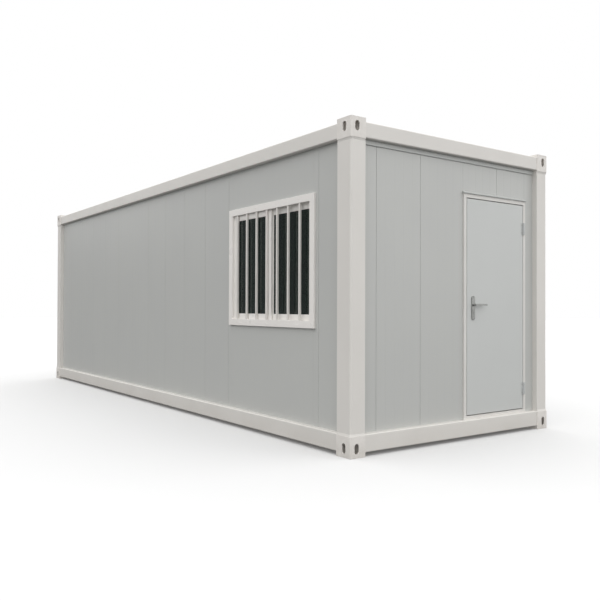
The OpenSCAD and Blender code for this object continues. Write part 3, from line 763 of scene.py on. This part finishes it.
# Window: extruded profiles mitred at the corners, rubber round the panes and steel bars outside
windowMade = {
    "round": 2.5 * mm, "sashRound": 2 * mm, "barRound": 2.5 * mm, "sashWide": 42 * mm,
    "beadWide": 9 * mm, "beadThick": 4.5 * mm, "beadFrom": 2.8 * mm, "beadRound": 1.2 * mm,
    "gasketWide": 3.5 * mm, "gasketThick": 2.4 * mm, "gasketFrom": 2.6 * mm, "gasketRound": 0.7 * mm,
    "bars": 7, "screwIn": 31 * mm,
}
piece = softCopy("window_casing_mitred", "window_frame", windowMade["round"], 3)
finishPiece(piece, "cabin", "window_plastic", whitePvc, "window_frame")
for node in ("window_sash_near", "window_sash_far"):
    piece = softCopy(node + "_mitred", node, windowMade["sashRound"], 3)
    finishPiece(piece, "cabin", "window_plastic", whitePvc, node)
piece = softCopy("window_bars_tube", "window_bars", windowMade["barRound"], 3)
finishPiece(piece, "cabin", "frame_paint", powderCoatedSteel, "window_bars")

# In each sash, a glazing bead and a black gasket stand on both sides of the pane. Each is a ring that
# starts a little way from the pane's middle and lies so far inside the sash's edge.
beads, gaskets = [], []
for node in ("window_sash_near", "window_sash_far"):
    low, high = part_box(node)
    paneX = (low.x + high.x) / 2
    for side in (-1, 1):
        for rings, kind, inset in (
                (beads, "bead", windowMade["sashWide"]),
                (gaskets, "gasket", windowMade["sashWide"] + windowMade["beadWide"])):
            near = windowMade[kind + "From"]
            x = sorted((paneX + side * near, paneX + side * (near + windowMade[kind + "Thick"])))
            ring = startRing(kind, (x[0], low.y + inset, low.z + inset),
                             (x[1], high.y - inset, high.z - inset), windowMade[kind + "Wide"], 0)
            soften(ring, windowMade[kind + "Round"])
            rings.append(ring)
finishPiece(joinPieces("glazing_beads", beads), "cabin", "window_plastic", whitePvc)
finishPiece(joinPieces("glazing_gaskets", gaskets), "cabin", "window_plastic", sealRubber)

# Latch on the near sash's closing stile, inside: a base and a turning grip
windowLatch = {"base": (26 * mm, 74 * mm), "baseThick": 7 * mm, "baseRound": 3 * mm,
               "grip": (14 * mm, 92 * mm), "gripThick": 12 * mm, "gripRound": 4 * mm, "gripDown": 10 * mm}
low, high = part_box("window_sash_near")
latchY, latchZ = high.y - windowMade["sashWide"] / 2, (low.z + high.z) / 2
wide, tall = windowLatch["base"]
base = startBox("latch_base", (high.x, latchY - wide / 2, latchZ - tall / 2),
                (high.x + windowLatch["baseThick"], latchY + wide / 2, latchZ + tall / 2))
soften(base, windowLatch["baseRound"], 3)
wide, tall = windowLatch["grip"]
gripX, gripZ = high.x + windowLatch["baseThick"], latchZ - windowLatch["gripDown"]
grip = startBox("latch_grip", (gripX, latchY - wide / 2, gripZ),
                (gripX + windowLatch["gripThick"], latchY + wide / 2, gripZ + tall))
soften(grip, windowLatch["gripRound"], 3)
finishPiece(joinPieces("window_latch", [base, grip]), "cabin", "window_plastic", whitePvc)

# Along the casing's foot, covers over the drain slots, each sloped on top
drainCover = {"count": 3, "wide": 34 * mm, "thick": 3 * mm, "rise": (20 * mm, 29 * mm), "slope": 2 * mm,
              "round": 0.8 * mm}
casingLow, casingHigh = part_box("window_frame")
outer = casingLow.x - drainCover["thick"]
lowest, highest = (casingLow.z + rise for rise in drainCover["rise"])
drains = []
for k in range(drainCover["count"]):
    y = casingLow.y + (casingHigh.y - casingLow.y) * (k + 0.5) / drainCover["count"]
    drain = startBox("drain_cover", (outer, y - drainCover["wide"] / 2, lowest),
                     (casingLow.x, y + drainCover["wide"] / 2, highest))
    pick(drain, "EDGE", lambda middle, along: abs(along.y) > 0.9 and middle.x < outer + tiny
         and middle.z > highest - tiny)
    bpy.ops.transform.translate(value=(drainCover["slope"], 0, 0))
    leaveEdit()
    soften(drain, drainCover["round"])
    drains.append(drain)
finishPiece(joinPieces("drain_covers", drains), "cabin", "window_plastic", whitePvc)

# A white capped screw in the casing at both ends of each bar
low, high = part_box("window_bars")
barWide = high.x - low.x
barStep = (high.y - low.y - barWide) / (windowMade["bars"] - 1)
casingScrews = [(casingLow.x, low.y + barWide / 2 + k * barStep, z)
                for z in (casingLow.z + windowMade["screwIn"], casingHigh.z - windowMade["screwIn"])
                for k in range(windowMade["bars"])]
screws = screwRow("bar_screws", casingScrews, -pi / 2)
finishPiece(screws, "cabin", "window_plastic", whitePvc)
removePiece(screwMaster)
print("window made")

# Floor, which takes the cabin's shadow but lights nothing: the light from below comes from the world
studioFloor = {"size": 120, "below": 0.5 * mm}
deselectAll()
bpy.ops.mesh.primitive_plane_add(size=studioFloor["size"], location=(0, 0, -studioFloor["below"]))
floor = bpy.context.object
floor.name = "studio_floor"
floor.data.materials.append(surfaceFinish("matt_studio_floor", {
    "colour": "#e4e4e4", "second": "#e2e2e2", "share": 0.5, "patch": 4000,
    "roughness": (0.9, 0.95), "grain": 30, "depth": 0.01}))
floor.visible_diffuse = False
floor.visible_glossy = False

# Light: a bright sky over darker ground, slightly uneven along X and Y. Low down beyond the window wall
# the sky is dark, so that the panes show no light. Turns are round Z from Y, in degrees.
studio = {
    "sky": 1.42, "ground": 0.20, "horizon": 0.01, "sideways": -0.05, "forwards": 0.05,
    "dark": 0.16, "darkFrom": (-75, -65), "darkTo": (-6, -1), "darkEdge": (-0.02, 0.03),
    "topTurns": (-30, -24), "tops": (0.30, 0.10),
}


# The settings of a step from one value to another between two places
def stepFrom(low, high, fromValue=0.0, toValue=1.0):
    return {"From Min": low, "From Max": high, "To Min": fromValue, "To Max": toValue}


smooth = {"interpolation_type": "SMOOTHSTEP"}
multiply = {"operation": "MULTIPLY"}
world = bpy.data.worlds.new("studio_sky")
bpy.context.scene.world = world
world.use_nodes = True
tree = world.node_tree
background = tree.nodes["Background"]
place = addNode(tree, "ShaderNodeTexCoord")
part = addNode(tree, "ShaderNodeSeparateXYZ", links={"Vector": (place, "Generated")})
sideways = addNode(tree, "ShaderNodeMath", {"operation": "MULTIPLY_ADD"},
                   {1: studio["sideways"], 2: 1.0}, {0: (part, "X")})
even = addNode(tree, "ShaderNodeMath", {"operation": "MULTIPLY_ADD"},
               {1: -studio["forwards"]}, {0: (part, "Y"), 2: (sideways, "Value")})
sky = addNode(tree, "ShaderNodeMath", multiply, {1: studio["sky"]}, {0: (even, "Value")})
azimuth = addNode(tree, "ShaderNodeMath", {"operation": "ARCTAN2"}, {}, {0: (part, "X"), 1: (part, "Y")})
top = addNode(tree, "ShaderNodeMapRange", {}, stepFrom(*map(radians, studio["topTurns"]), *studio["tops"]),
              {"Value": (azimuth, "Value")})
above = addNode(tree, "ShaderNodeMath", {"operation": "SUBTRACT"}, {}, {0: (part, "Z"), 1: (top, "Result")})
low = addNode(tree, "ShaderNodeMapRange", smooth, stepFrom(*studio["darkEdge"], 1.0, 0.0),
              {"Value": (above, "Value")})
behind = addNode(tree, "ShaderNodeMapRange", smooth, stepFrom(*map(radians, studio["darkTo"]), 1.0, 0.0),
                 {"Value": (azimuth, "Value")})
beside = addNode(tree, "ShaderNodeMapRange", smooth, stepFrom(*map(radians, studio["darkFrom"])),
                 {"Value": (azimuth, "Value")})
sector = addNode(tree, "ShaderNodeMath", multiply, {}, {0: (behind, "Result"), 1: (beside, "Result")})
darkened = addNode(tree, "ShaderNodeMath", multiply, {}, {0: (sector, "Value"), 1: (low, "Result")})
overhead = addNode(tree, "ShaderNodeMix", {}, {3: studio["dark"]},
                   {0: (darkened, "Value"), 2: (sky, "Value")})
upper = addNode(tree, "ShaderNodeMapRange", smooth, stepFrom(-studio["horizon"], studio["horizon"]),
                {"Value": (part, "Z")})
light = addNode(tree, "ShaderNodeMix", {}, {2: studio["ground"]}, {0: (upper, "Result"), 3: (overhead, 0)})
path = addNode(tree, "ShaderNodeLightPath")  # what the camera itself sees of the sky is plain white
seen = addNode(tree, "ShaderNodeMix", {}, {3: 1.0}, {0: (path, "Is Camera Ray"), 2: (light, 0)})
tree.links.new(seen.outputs[0], background.inputs["Strength"])
background.inputs["Color"].default_value = (1, 1, 1, 1)

# The camera stands off the front left corner, a little over a metre up
view = {"lens": 41.86, "place": (-4.582, -7.696, 1.139), "turn": (90.60, -0.18, -35.72), "farthest": 200}
camera = bpy.data.cameras.new("camera")
cameraObject = bpy.data.objects.new("camera", camera)
bpy.context.collection.objects.link(cameraObject)
camera.lens = view["lens"]
camera.clip_end = view["farthest"]
cameraObject.location = view["place"]
cameraObject.rotation_euler = [radians(angle) for angle in view["turn"]]
bpy.context.scene.camera = cameraObject
bpy.context.scene.view_settings.view_transform = "Standard"
print("light and camera set")
